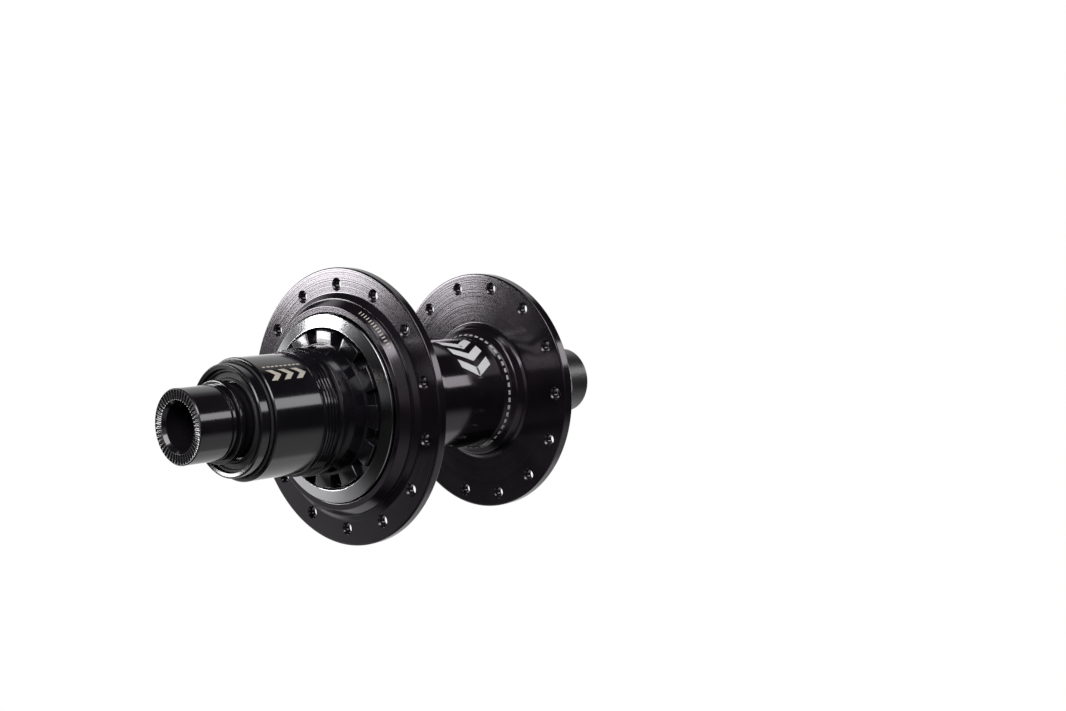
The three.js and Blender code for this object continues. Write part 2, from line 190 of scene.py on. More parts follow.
camera = bpy.data.objects.new("camera", bpy.data.cameras.new("camera"))
camera.data.lens, camera.data.sensor_width = 54.51, 36.0
camera.data.clip_start, camera.data.clip_end = 0.01, 50.0
turned_to = Matrix((
    (0.73769, 0.67347, -0.04734),
    (0.0, 0.07012, 0.99754),
    (0.67513, -0.73588, 0.05173))).transposed().to_4x4()
camera.matrix_world = Matrix.Translation((0.32698, -0.29909, 0.03343)) @ turned_to
scene.collection.objects.link(camera)
scene.camera = camera


# ---------------------------------------------------------------- axle
# A hollow 7075 aluminium tube, turned and left satin, with a shoulder for each hub bearing and a
# socket at each end that an end cap's spigot pushes into.

outer_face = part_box("drive_end_cap")[0].y


def rounded(corners, steps=4, plain=0.15):
    """A section's points, with every corner rounded. A corner is (station, radius) or
    (station, radius, fillet), and each flat keeps a support point beside its fillets."""
    share_of_flat, least_reach, nearly_straight = 0.4, 0.004, 1.55
    points = []
    for i, (station, radius, *fillet) in enumerate(corners):
        here = np.array((station, radius), float)
        back = np.array(corners[i - 1][:2], float) - here
        on = np.array(corners[(i + 1) % len(corners)][:2], float) - here
        far_back, far_on = np.linalg.norm(back), np.linalg.norm(on)
        back, on = back / far_back, on / far_on
        half = math.acos(max(-1.0, min(1.0, float(back @ on)))) / 2
        wanted = fillet[0] if fillet else plain
        reach = 0.0
        if half < nearly_straight:
            reach = min(wanted / math.tan(half), share_of_flat * far_back, share_of_flat * far_on)
        if reach < least_reach:
            points.append(here)
            continue
        bisector = (back + on) / np.linalg.norm(back + on)
        size = reach * math.tan(half)
        centre = here + bisector * size / math.sin(half)
        points.append(here + back * (reach + min(0.1, 0.08 * far_back)))
        for k in range(steps + 1):
            t = (k / steps - 0.5) * (math.pi - 2 * half)
            across = np.array((-bisector[1], bisector[0]))
            if across @ (on - back) < 0:
                across = -across
            points.append(centre - bisector * size * math.cos(t) + across * size * math.sin(t))
        points.append(here + on * (reach + min(0.1, 0.08 * far_on)))
    return np.array(points)


def new_piece(name, points, faces, finish=None):
    """An object from points in metres and faces, turned to face outwards."""
    mesh = bpy.data.meshes.new(name)
    mesh.from_pydata(points.tolist(), [], faces.tolist() if hasattr(faces, "tolist") else faces)
    work = bmesh.new()
    work.from_mesh(mesh)
    bmesh.ops.remove_doubles(work, verts=work.verts, dist=1e-7)
    bmesh.ops.recalc_face_normals(work, faces=work.faces)
    work.to_mesh(mesh)
    work.free()
    piece = bpy.data.objects.new(name, mesh)
    if finish:
        mesh.materials.append(finish)
    scene.collection.objects.link(piece)
    return piece


def ring_grid(name, stations, radii, finish, angles=None):
    """A closed ring about the axle. A row of the two grids runs round the axle, and a column
    round the section."""
    rows, columns = radii.shape
    if angles is None:
        angles = np.arange(columns) * 2 * math.pi / columns
    points = np.stack([radii * np.sin(angles) * mm, outer_face + stations * mm,
                       radii * np.cos(angles) * mm], axis=-1).reshape(-1, 3)
    i, j = np.meshgrid(np.arange(rows), np.arange(columns), indexing="ij")
    down, along = (i + 1) % rows, (j + 1) % columns
    faces = np.stack([i * columns + j, i * columns + along, down * columns + along,
                      down * columns + j], axis=-1).reshape(-1, 4)
    return new_piece(name, points, faces, finish)


def turned(name, corners, finish, columns=192, steps=4, plain=0.15):
    """A ring turned about the axle, from the corners of its section."""
    section = rounded(corners, steps, plain)
    stations = np.repeat(section[:, :1], columns, axis=1)
    radii = np.repeat(section[:, 1:], columns, axis=1)
    return ring_grid(name, stations, radii, finish)


def smooth(piece, degrees=32):
    mesh = piece.data
    mesh.polygons.foreach_set("use_smooth", [True] * len(mesh.polygons))
    mesh.set_sharp_from_angle(angle=math.radians(degrees))


def fitted(piece, body, slot, *nodes):
    """The last step of a piece: its shading, the body it rides on, and what it stands for. slot, the name
    of its finish, is not used.
    """
    smooth(piece)
    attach(piece, body)
    if nodes:
        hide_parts(*nodes)
    return piece


def machined(name, colour, metal, rough, grooves, groove_pitch=0.11, mottle=0.05, index=1.5,
             fade=(0.0, 0.0, 0.0), cylinder_share=0.2, sheen=(1.0, 1.0, 1.0)):
    """A lathe-turned finish. Its tool marks ring the axle, deeper on faces than on cylinders, with
    a faint uneven gloss. fade is added to the colour where the gloss is lowest, and sheen is the
    colour of what the finish reflects."""
    material = bpy.data.materials.new(name)
    material.use_nodes = True
    material.node_tree.nodes.clear()
    start = Wire(material.node_tree)
    place = start.node("ShaderNodeTexCoord", output="Object")
    x, y, z = (start.node("ShaderNodeSeparateXYZ", {}, {0: place}, output=axis) for axis in range(3))
    radius = start.maths("SQRT", x * x + z * z)
    facing = start.node("ShaderNodeSeparateXYZ", {}, {
        0: start.node("ShaderNodeNewGeometry", output="Normal")}, output=1)
    flat = facing * facing
    along_share, band_pitch = 1.37, 1.3
    tool_path = radius + y * along_share
    marks = start.node("ShaderNodeTexNoise", {"noise_dimensions": "1D"}, {
        "W": tool_path * (1 / (groove_pitch * mm)), "Scale": 1.0, "Detail": 2.0, "Roughness": 0.6})
    bands = start.node("ShaderNodeTexNoise", {"noise_dimensions": "1D"}, {
        "W": tool_path * (1 / (band_pitch * mm)), "Scale": 1.0, "Detail": 1.0})
    cloud = start.node("ShaderNodeTexNoise", {}, {"Vector": place, "Scale": 90.0, "Detail": 4.0})
    gloss = (cloud - 0.5) * mottle + (bands - 0.5) * (mottle * 0.6) + rough
    depth = flat * (1 - cylinder_share) + cylinder_share
    relief = start.node("ShaderNodeBump", {}, {
        "Strength": 1.0, "Distance": grooves * mm, "Height": marks * depth})
    low = (*colour, 1.0)
    high = (*[c + f for c, f in zip(colour, fade)], 1.0)
    shader = start.node("ShaderNodeBsdfPrincipled", {}, {
        "Base Color": cloud.ramp(0.35, 0.7).blend(low, high), "Metallic": metal,
        "Roughness": gloss, "IOR": index, "Specular Tint": (*sheen, 1.0), "Normal": relief})
    out = material.node_tree.nodes.new("ShaderNodeOutputMaterial")
    material.node_tree.links.new(shader.socket, out.inputs["Surface"])
    return material


satin_alloy = machined("satin_alloy", (0.50, 0.50, 0.52), 1.0, 0.16, 0.003, fade=(0.05, 0.05, 0.05))

axle_start, axle_end = 17.3, 124.0
drive_shoulder, disc_shoulder = 67.3, 116.7
axle_bore, axle_socket, axle_radius, shoulder_radius = 6.5, 7.7, 8.5, 9.9
socket_depth = 15
fitted(turned("axle_tube", [
    (axle_start, axle_socket), (axle_start, axle_radius), (drive_shoulder, axle_radius),
    (drive_shoulder, shoulder_radius), (disc_shoulder, shoulder_radius), (disc_shoulder, axle_radius),
    (axle_end, axle_radius), (axle_end, axle_socket), (axle_end - socket_depth, axle_socket),
    (axle_end - socket_depth, axle_bore), (axle_start + socket_depth, axle_bore),
    (axle_start + socket_depth, axle_socket)], satin_alloy),
    "axle_set", "satin_alloy", "axle")


# ---------------------------------------------------------------- end caps
# Turned aluminium, black anodised. Radial serrations are cut in each outer face to grip the frame,
# and an O-ring in a groove of the spigot holds the cap in the axle's socket.

seal_rubber = bpy.data.materials.new("seal_rubber")
seal_rubber.use_nodes = True
start = Wire(seal_rubber.node_tree)
place = start.node("ShaderNodeTexCoord", output="Object")
grain = start.node("ShaderNodeTexNoise", {}, {"Vector": place, "Scale": 2600.0, "Detail": 3.0})
bloom = start.node("ShaderNodeTexNoise", {}, {"Vector": place, "Scale": 140.0, "Detail": 3.0})
rubber = seal_rubber.node_tree.nodes["Principled BSDF"]
rubber.inputs["IOR"].default_value = 1.5
for key, value in {
        "Base Color": bloom.blend((0.006, 0.006, 0.0065, 1.0), (0.016, 0.016, 0.017, 1.0)),
        "Roughness": bloom * 0.25 + 0.42,
        "Normal": start.node("ShaderNodeBump", {}, {"Distance": 0.01 * mm, "Height": grain})}.items():
    seal_rubber.node_tree.links.new(value.socket, rubber.inputs[key])

cap_gloss = machined("cap_gloss", (0.0045, 0.004, 0.005), 0.0, 0.12, 0.002, index=1.66,
                     fade=(0.003, 0.002, 0.003), sheen=(1.0, 0.97, 1.0))
cap_satin = machined("cap_satin", (0.010, 0.010, 0.011), 0.0, 0.36, 0.006, mottle=0.10, index=1.75,
                     fade=(0.006, 0.006, 0.006))

cap_radius, cap_bore, spigot = 9.5, 6.0, 7.4
drive_cap_length, disc_cap_length, spigot_length = 17.0, 17.7, 13.5
groove_depth = 0.5
ring_from_tip, ring_groove_half, ring_groove_depth = 6, 0.45, 0.8
serrations, serration_depth, serration_runout, serration_columns = 48, 0.24, 0.5, 8
last_station = 142.0


def end_cap(name, length, grooves, rings, place, finish):
    tip = length + spigot_length
    ring = tip - ring_from_tip
    section = rounded([
        (0.9, cap_bore, 0.1), (0.0, cap_bore + 0.7, 0.05), (0.0, 6.95, 0), (0.0, 7.6, 0),
        (0.0, 8.3, 0), (0.0, 8.95, 0), (0.0, cap_radius - 0.25, 0.04), (0.25, cap_radius, 0.04),
        *[corner for start, end in grooves for corner in (
            (start, cap_radius, 0.08), (start, cap_radius - groove_depth, 0.06),
            (end, cap_radius - groove_depth, 0.06), (end, cap_radius, 0.08))],
        *[corner for start, end, radius in rings for corner in (
            (start, radius, 0.2), (end, radius, 0.2), (end, cap_radius, 0.1))],
        (length, cap_radius, 0.2), (length, spigot, 0.1),
        (ring - ring_groove_half, spigot, 0.06),
        (ring - ring_groove_half, spigot - ring_groove_depth, 0.1),
        (ring + ring_groove_half, spigot - ring_groove_depth, 0.1),
        (ring + ring_groove_half, spigot, 0.06),
        (tip, spigot, 0.3), (tip, cap_bore, 0.2)], steps=3)
    columns = serrations * serration_columns
    phase = np.arange(columns) / serration_columns % 1
    ridge = 0.5 - 0.5 * np.cos(2 * math.pi * phase)
    stations = np.repeat(section[:, :1], columns, axis=1)
    radii = np.repeat(section[:, 1:], columns, axis=1)
    face = (stations < serration_runout) & (radii > cap_bore + 0.3)
    across = np.clip((radii - cap_bore - 0.7) / 0.25, 0, 1) * np.clip((9.25 - radii) / 0.3, 0, 1)
    runout = np.clip((serration_runout - stations) / serration_runout, 0, 1)
    stations = stations + np.where(face, serration_depth * (1 - ridge) * across * runout, 0)
    return ring_grid(name, place(stations), radii, finish)


fitted(end_cap("drive_cap", drive_cap_length, [(9.4, 9.9), (10.9, 11.2)], [(11.2, 12.7, 10.5)],
               lambda depth: depth, cap_gloss),
       "axle_set", "cap_anodised", "drive_end_cap")
fitted(end_cap("disc_cap", disc_cap_length, [(9.4, 9.9)], [],
               lambda depth: last_station - depth, cap_satin),
       "axle_set", "cap_anodised", "disc_end_cap")


def o_ring(name, station, radius, section, finish, rows=16, columns=160):
    angles = np.arange(rows) * 2 * math.pi / rows
    stations = np.repeat((station + section * np.cos(angles))[:, None], columns, axis=1)
    radii = np.repeat((radius + section * np.sin(angles))[:, None], columns, axis=1)
    return ring_grid(name, stations, radii, finish)


for side, station in (
        ("drive", drive_cap_length + spigot_length - ring_from_tip),
        ("disc", last_station - (disc_cap_length + spigot_length - ring_from_tip))):
    fitted(o_ring(f"{side}_cap_ring", station, spigot - 0.35, 0.4, seal_rubber),
           "axle_set", "seal_rubber", f"{side}_cap_o_ring")


# ---------------------------------------------------------------- cartridge bearings
# Four sealed ball bearings: ground steel races with a round groove, polished balls in a moulded
# nylon cage, and a rubber shield clipped into each side of the outer race.

ground_steel = machined("ground_steel", (0.46, 0.46, 0.47), 1.0, 0.16, 0.003, groove_pitch=0.08,
                        fade=(0.06, 0.06, 0.06))
ball_steel = machined("ball_steel", (0.55, 0.55, 0.56), 1.0, 0.06, 0.0, mottle=0.03)
cage_nylon = machined("cage_nylon", (0.030, 0.022, 0.017), 0.0, 0.5, 0.004, groove_pitch=0.4,
                      mottle=0.12, fade=(0.012, 0.009, 0.007))


def tree_round_axle():
    """Geometry Nodes that set copies of a shape round the axle, a fixed angle apart."""
    tree = bpy.data.node_groups.new("copies_round_axle", "GeometryNodeTree")
    tree.interface.new_socket("Geometry", in_out="OUTPUT", socket_type="NodeSocketGeometry")
    for name, kind in (("Shape", "NodeSocketObject"), ("Count", "NodeSocketInt"),
                       ("First angle", "NodeSocketFloat"), ("Step angle", "NodeSocketFloat"),
                       ("Finish", "NodeSocketMaterial")):
        tree.interface.new_socket(name, in_out="INPUT", socket_type=kind)
    start = Wire(tree)
    given = tree.nodes.new("NodeGroupInput")
    shape, count, first, step, finish = (Wire(tree, given.outputs[k]) for k in range(5))
    angle = (start.node("GeometryNodeInputIndex") * step + first) * (math.pi / 180)
    copies = start.node("GeometryNodeInstanceOnPoints", {}, {
        "Points": start.node("GeometryNodePoints", {}, {"Count": count}),
        "Instance": start.node("GeometryNodeObjectInfo", {"transform_space": "ORIGINAL"},
                               {"Object": shape}, output="Geometry"),
        "Rotation": start.node("FunctionNodeEulerToRotation", {}, {
            0: start.node("ShaderNodeCombineXYZ", {}, {"Y": angle})})})
    solid = start.node("GeometryNodeRealizeInstances", {}, {0: copies})
    done = start.node("GeometryNodeSetMaterial", {}, {"Geometry": solid, "Material": finish})
    out = tree.nodes.new("NodeGroupOutput")
    tree.links.new(done.socket, out.inputs[0])
    return tree


copies_round_axle = tree_round_axle()


def baked(piece):
    """Makes what the piece's modifiers show its own mesh."""
    shown = piece.evaluated_get(bpy.context.evaluated_depsgraph_get())
    mesh = bpy.data.meshes.new_from_object(shown)
    mesh.name = piece.name
    piece.modifiers.clear()
    piece.data = mesh
    return piece


def round_axle(name, shape, count, first, finish, step=None):
    """Copies of a shape round the axle as one piece. The shape itself is used up."""
    piece = bpy.data.objects.new(name, bpy.data.meshes.new(name))
    scene.collection.objects.link(piece)
    modifier = piece.modifiers.new("copies", "NODES")
    modifier.node_group = copies_round_axle
    sockets = {item.name: item.identifier for item in copies_round_axle.interface.items_tree}
    for label, value in (("Shape", shape), ("Count", count), ("First angle", float(first)),
                         ("Step angle", float(step or 360 / count)), ("Finish", finish)):
        modifier[sockets[label]] = value
    bpy.context.view_layer.update()
    baked(piece)
    bpy.data.objects.remove(shape)
    return piece


def ball(radius, station, pitch, finish):
    mesh = bpy.data.meshes.new("ball")
    work = bmesh.new()
    bmesh.ops.create_uvsphere(work, u_segments=28, v_segments=16, radius=radius * mm)
    bmesh.ops.translate(work, verts=work.verts, vec=(0, outer_face + station * mm, pitch * mm))
    work.to_mesh(mesh)
    work.free()
    made = bpy.data.objects.new("ball", mesh)
    mesh.materials.append(finish)
    scene.collection.objects.link(made)
    return made


race_bore, race_corner, ball_clearance, land_share = 8.6, 0.3, 0.12, 0.6
cage_overhang, cage_clearance = 0.15, 0.3
shield_face, shield_back = 0.15, 0.55
for bearing, held_in, balls_body, station, width, outer, ball_radius, count in (
        ("driver_outer_bearing", "driver_set", "driver_outer_balls", 17.3, 5.0, 12.9, 1.2, 9),
        ("driver_inner_bearing", "driver_set", "driver_inner_balls", 53.3, 5.0, 12.9, 1.2, 9),
        ("drive_side_bearing", "shell_set", "drive_side_balls", 60.0, 7.0, 14.9, 1.8, 8),
        ("disc_side_bearing", "shell_set", "disc_side_balls", 117.0, 7.0, 14.9, 1.8, 8)):
    pitch = (race_bore + outer) / 2
    land = land_share * ball_radius
    middle, end = station + width / 2, station + width
    groove = ball_radius + ball_clearance
    reach = math.acos(land / groove)
    for race, wall, side, body in (("inner_race", race_bore, -1, "axle_set"),
                                   ("outer_race", outer, 1, held_in)):
        trough = [(middle + groove * math.sin(t), pitch + side * groove * math.cos(t), 0)
                  for t in np.linspace(-reach, reach, 13)]
        fitted(turned(f"{bearing}_{race}_ground", [
            (station, wall, race_corner), (station, pitch + side * land, 0.12), *trough,
            (end, pitch + side * land, 0.12), (end, wall, race_corner)], ground_steel, columns=160),
            body, "bearing_steel", f"{bearing}_{race}")
    half = ball_radius + cage_overhang
    thick = land - cage_clearance
    fitted(turned(f"{bearing}_cage", [
        (middle - half, pitch - thick), (middle - half, pitch + thick),
        (middle + half, pitch + thick), (middle + half, pitch - thick)], cage_nylon, columns=120),
        balls_body, "cage_nylon", f"{bearing}_ball_cage")
    fitted(round_axle(f"{bearing}_balls", ball(ball_radius, middle, pitch, ball_steel), count, 0,
                      ball_steel), balls_body, "bearing_steel")
    for side, near, far in (("outboard", station + shield_face, station + shield_back),
                            ("inboard", end - shield_face, end - shield_back)):
        dip = near + (far - near) * 0.4
        fitted(turned(f"{bearing}_{side}_shield", [
            (far, pitch - land + 0.2), (near, pitch - land + 0.2), (near, pitch - land + 0.7),
            (dip, pitch - land + 0.9), (dip, pitch + land - 0.6), (near, pitch + land - 0.4),
            (near, pitch + land - 0.1), (far, pitch + land - 0.1)], seal_rubber, columns=160,
            plain=0.08), held_in, "seal_rubber", f"{bearing}_{side}_seal")


# ---------------------------------------------------------------- bearing spacers
# Two thin aluminium tubes on the axle. They keep the inner races apart, so that the end caps can
# be pulled tight without loading the balls.

spacer_radius = 9.9
for name, start_at, end_at in (("driver_bearing_spacer", 22.4, 53.2),
                               ("hub_bearing_spacer", 58.4, 59.9)):
    fitted(turned(f"{name}_tube", [
        (start_at, race_bore), (start_at, spacer_radius), (end_at, spacer_radius),
        (end_at, race_bore)], satin_alloy), "axle_set", "satin_alloy", name)


# ---------------------------------------------------------------- hub shell
# Forged and turned from one piece of aluminium, polished and black anodised: a drum for the ratchet,
# two drilled flanges, a slim barrel, and a splined seat for the brake disc.

shell_black = machined("shell_black", (0.0045, 0.0038, 0.0048), 0.0, 0.12, 0.009, groove_pitch=0.3,
                       index=1.62, fade=(0.0035, 0.0022, 0.0035), cylinder_share=0.03,
                       sheen=(1.0, 0.92, 1.0))

columns = 300
band_front, band_foot, band_width, band_rise = 48.3, 27.0, 2.3, 1.7
drive_face, drive_back, drive_radius = 52.3, 54.9, 37.1
disc_face, disc_back, disc_radius = 104.0, 107.0, 33.7
barrel_radius, barrel_end, collar_station, collar_top = 15.5, 99.0, 100.7, 16.6
seal_seat, drum_bore, bearing_seat, shell_bore = 25.3, 22.7, 15.1, 13.0
rotor_spline = 17.2
section = rounded([
    # the drum's mouth, and the narrow band round it
    (band_front, seal_seat, 0.2), (band_front, band_foot, 0.22), (50.6, 28.7, 0.15),
    (50.6, 28.4, 0.1), (50.9, 28.4, 0.1), (50.9, 29.05, 0.18), (51.3, 29.05, 0.18),
    (51.4, 28.9, 0.1), (drive_face, 30.4, 0.6),
    # the drive flange, the shoulder behind it and the slim barrel
    (drive_face, drive_radius, 0.42), (drive_back, drive_radius, 0.42), (drive_back, 29.4, 1.6),
    (56.3, 27.1, 2.0), (60.0, 25.3, 3.0), (62.8, 19.7, 2.6), (67.3, 18.1, 4.0),
    (75.0, barrel_radius, 12.0), (barrel_end, barrel_radius, 2.0),
    # the collar, the disc flange and the cone behind it
    (collar_station, collar_top, 0.4), (101.5, 18.1, 1.0), (103.0, 18.8, 0.9), (103.5, 18.9, 0.3),
    (disc_face, 19.6, 0.3), (disc_face, disc_radius, 0.42), (disc_back, disc_radius, 0.42),
    (disc_back, 26.5, 1.6), (108.6, 24.5, 1.6), (113.0, 21.5, 3.0), (119.0, 20.5, 0.4),
    # the brake disc's seat
    (119.0, rotor_spline, 0.0), (119.15, rotor_spline, 0.0), (119.3, rotor_spline, 0.0),
    (125.5, rotor_spline, 0.0), (126.0, 16.9, 0.0), (126.6, 16.4, 0.2), (127.0, 16.2, 0.1),
    # the bore, from the disc end back to the drum
    (127.0, 15.5, 0.1), (126.6, bearing_seat, 0.1), (disc_shoulder, bearing_seat, 0.2),
    (disc_shoulder, shell_bore, 0.2), (drive_shoulder, shell_bore, 0.2),
    (drive_shoulder, bearing_seat, 0.2), (59.0, bearing_seat, 0.2), (59.0, drum_bore, 0.3),
    (50.3, drum_bore, 0.2), (50.3, seal_seat, 0.2)])
stations = np.repeat(section[:, :1], columns, axis=1)
radii = np.repeat(section[:, 1:], columns, axis=1)
spline_teeth, spline_root, spline_start, spline_end = 30, 16.6, 119.1, 126.2
tooth = np.arange(columns) * spline_teeth / columns % 1
valley = np.interp(tooth, [0.0, 0.30, 0.40, 0.92, 1.0], [1, 1, 0, 0, 1])
splined = (stations > spline_start) & (stations < spline_end) & (radii > spline_root + 0.1)
radii = np.where(splined, radii - (radii - spline_root) * valley, radii)
shell = ring_grid("hub_shell_body", stations, radii, shell_black)


def spindle(name, profile, height, finish, columns=32):
    """A turned plug that lies along the axle's direction, height above the axle, from
    (station, radius) pairs."""
    points, faces = [], []
    for station, radius in profile:
        for k in range(columns):
            a = 2 * math.pi * k / columns
            points.append((radius * math.sin(a) * mm, outer_face + station * mm,
                           (height + radius * math.cos(a)) * mm))
    for row in range(len(profile) - 1):
        for k in range(columns):
            on = (k + 1) % columns
            faces.append((row * columns + k, row * columns + on,
                          (row + 1) * columns + on, (row + 1) * columns + k))
    faces.append(tuple(range(columns)))
    last = (len(profile) - 1) * columns
    faces.append(tuple(last + k for k in range(columns)))
    return new_piece(name, np.array(points), faces, finish)


def cut(piece, tool, operation="DIFFERENCE"):
    """Cuts a tool out of a piece, or joins it on. The tool is used up."""
    modifier = piece.modifiers.new("cut", "BOOLEAN")
    modifier.operation, modifier.object, modifier.solver = operation, tool, "MANIFOLD"
    bpy.context.view_layer.update()
    baked(piece)
    bpy.data.objects.remove(tool)
    return piece


hole, dish = 1.3, 0.55
holes, first_hole = 14, 0.9
for face, back, circle, first in ((drive_face, drive_back, 32.6, first_hole),
                                  (disc_face, disc_back, 30.0, first_hole + 180 / holes)):
    drill = spindle("spoke_hole", [
        (face - 0.6, hole + dish), (face - 0.02, hole + dish), (face + 0.16, hole + dish * 0.62),
        (face + 0.36, hole + dish * 0.22), (face + 0.6, hole), (back - 0.6, hole),
        (back - 0.36, hole + dish * 0.22), (back - 0.16, hole + dish * 0.62),
        (back + 0.02, hole + dish), (back + 0.6, hole + dish)], circle, shell_black)
    cut(shell, round_axle("spoke_holes", drill, holes, first, shell_black))
fitted(shell, "shell_set", "black_anodised", "hub_shell")


# ---------------------------------------------------------------- laser marks on the shell
# Plain marks of thin bright oxide where the anodising was burnt away: direction chevrons on the
# barrel, a ring of dashes before the disc flange, and a row of ticks on the drum's edge.


def laser_mark(name, dull, bright):
    material = bpy.data.materials.new(name)
    material.use_nodes = True
    start = Wire(material.node_tree)
    place = start.node("ShaderNodeTexCoord", output="Object")
    speckle = start.node("ShaderNodeTexNoise", {}, {"Vector": place, "Scale": 3200.0, "Detail": 2.0})
    paint = material.node_tree.nodes["Principled BSDF"]
    burr = start.node("ShaderNodeBump", {}, {"Distance": 0.004 * mm, "Height": speckle})
    for key, value in {
            "Base Color": speckle.blend((*dull, 1.0), (*bright, 1.0)),
            "Roughness": speckle * 0.2 + 0.4, "Normal": burr}.items():
        material.node_tree.links.new(value.socket, paint.inputs[key])
    return material


mark_white = laser_mark("laser_mark", (0.46, 0.46, 0.47), (0.68, 0.68, 0.69))
mark_dim = laser_mark("laser_mark_dim", (0.20, 0.20, 0.205), (0.34, 0.34, 0.345))
mark_tan = laser_mark("laser_mark_tan", (0.30, 0.275, 0.24), (0.48, 0.44, 0.39))


def inlay(name, quads, radius_at, finish, proud=0.02, sunk=0.08):
    """Flat marks that hug a turned surface. A mark is four (station, angle) corners, and it is
    a closed sliver that stands a hair proud of the surface."""
    points, faces = [], []
    long, wide = 6, 10
    for corners in quads:
        a, b, c, d = (np.array(corner, float) for corner in corners)
        first = len(points)
        for lift in (proud, -sunk):
            for i in range(long + 1):
                for j in range(wide + 1):
                    u, v = i / long, j / wide
                    station, angle = (a * (1 - u) + b * u) * (1 - v) + (d * (1 - u) + c * u) * v
                    r = radius_at(station) + lift
                    t = math.radians(angle)
                    points.append((r * math.sin(t) * mm, outer_face + station * mm,
                                   r * math.cos(t) * mm))
        layer = (long + 1) * (wide + 1)
        at = lambda k, i, j: first + k * layer + i * (wide + 1) + j
        for i in range(long):
            for j in range(wide):
                for k in (0, 1):
                    faces.append((at(k, i, j), at(k, i + 1, j), at(k, i + 1, j + 1), at(k, i, j + 1)))
        for i in range(long):
            for j in (0, wide):
                faces.append((at(0, i, j), at(0, i + 1, j), at(1, i + 1, j), at(1, i, j)))
        for j in range(wide):
            for i in (0, long):
                faces.append((at(0, i, j), at(0, i, j + 1), at(1, i, j + 1), at(1, i, j)))
    return new_piece(name, np.array(points), faces, finish)


def chevron(station, angle, depth, reach, thick):
    """Two quads that meet in a point, aimed round the axle in the rolling direction."""
    return [[(station, angle + reach), (station, angle + reach - thick),
             (station + side * depth, angle - thick), (station + side * depth, angle)]
            for side in (-1, 1)]


barrel_marks = [quad for k in range(3) for quad in chevron(
    station=90.5, angle=22 + 18 * k, depth=5.6, reach=12, thick=10)]
fitted(inlay("barrel_chevrons", barrel_marks, lambda s: barrel_radius, mark_white),
       "shell_set", "black_anodised")


def collar_radius(station):
    return float(np.interp(station, [barrel_end, collar_station], [barrel_radius, collar_top]))


dash = inlay("dash", [[(99.9, -2.2), (100.4, -2.2), (100.4, 2.2), (99.9, 2.2)]],
             collar_radius, mark_dim)
fitted(round_axle("collar_dashes", dash, count=48, first=0, finish=mark_dim),
       "shell_set", "black_anodised")


def band_radius(station):
    return band_foot + (station - band_front) * band_rise / band_width


tick = inlay("tick", [[(49.1, -0.35), (49.9, -0.35), (49.9, 0.35), (49.1, 0.35)]],
             band_radius, mark_tan)
fitted(round_axle("drum_ticks", tick, count=14, first=26.5, finish=mark_tan, step=2.2),
       "shell_set", "black_anodised")


# ---------------------------------------------------------------- drum seal and ratchet ring
# A bright turned ring closes the drum's mouth, with a rubber lip behind it that wipes the driver
# body. The hardened ratchet ring is pressed in behind, with teeth on its bore.

fitted(turned("drum_seal_face", [
    (46.6, 21.5, 0.15), (47.5, 25.0, 0.22), (50.0, 25.0, 0.2), (50.0, 21.5, 0.2)], satin_alloy,
    columns=320), "shell_set", "satin_alloy", "drum_seal_ring")
fitted(turned("drum_lip", [
    (50.5, 22.4), (50.5, 20.2), (50.9, 18.7, 0.1), (51.2, 18.9), (51.3, 20.4), (51.8, 20.6),
    (51.8, 22.4)], seal_rubber, columns=240), "shell_set", "seal_rubber", "drum_lip_seal")

tool_steel = machined("tool_steel", (0.115, 0.118, 0.125), 1.0, 0.36, 0.004, groove_pitch=0.3,
                      mottle=0.14, fade=(0.05, 0.048, 0.045))
ratchet_tip, ratchet_root, ratchet_rim, teeth = 18.6, 20.0, 22.4, 48
ratchet_front, ratchet_back = 52.1, 58.7
pawl_pivot, pawl_reach, pawl_nose, gap = 16.0, 7.0, 19.3, 0.3
swing = math.hypot(math.sqrt(pawl_nose ** 2 - pawl_reach ** 2) - pawl_pivot, pawl_reach)
crossing = math.acos((pawl_pivot ** 2 + ratchet_tip ** 2 - swing ** 2)
                     / (2 * pawl_pivot * ratchet_tip))
tooth_face = math.degrees(crossing + gap / ratchet_tip)
tooth_profile = ((-0.2, ratchet_root), (0.2, ratchet_tip), (0.5, ratchet_tip + 0.02),
                 (3.6, ratchet_tip + 0.66), (6.9, ratchet_root - 0.02))
angles, bore = [], []
for k in range(teeth):
    for offset, radius in tooth_profile:
        angles.append(math.radians(tooth_face + 360 / teeth * k + offset))
        bore.append(radius)
angles, bore = np.array(angles), np.array(bore)
rim = np.full(len(bore), ratchet_rim)
rows = [(ratchet_front, bore + 0.25), (ratchet_front, rim - 0.3), (ratchet_front + 0.3, rim),
        (ratchet_back - 0.3, rim), (ratchet_back, rim - 0.3), (ratchet_back, bore + 0.25),
        (ratchet_back - 0.25, bore), (ratchet_front + 0.25, bore)]
fitted(ring_grid("ratchet_ring_hardened", np.array([[s] * len(bore) for s, _ in rows]),
                 np.array([r for _, r in rows]), tool_steel, angles),
       "shell_set", "tool_steel", "ratchet_ring")


# ---------------------------------------------------------------- driver body
# Turned from one bar of aluminium and black anodised: a nose with an O-ring groove, a smooth
# barrel, a fine thread, twelve splines for the cassette, and a carrier with three pawl pockets.

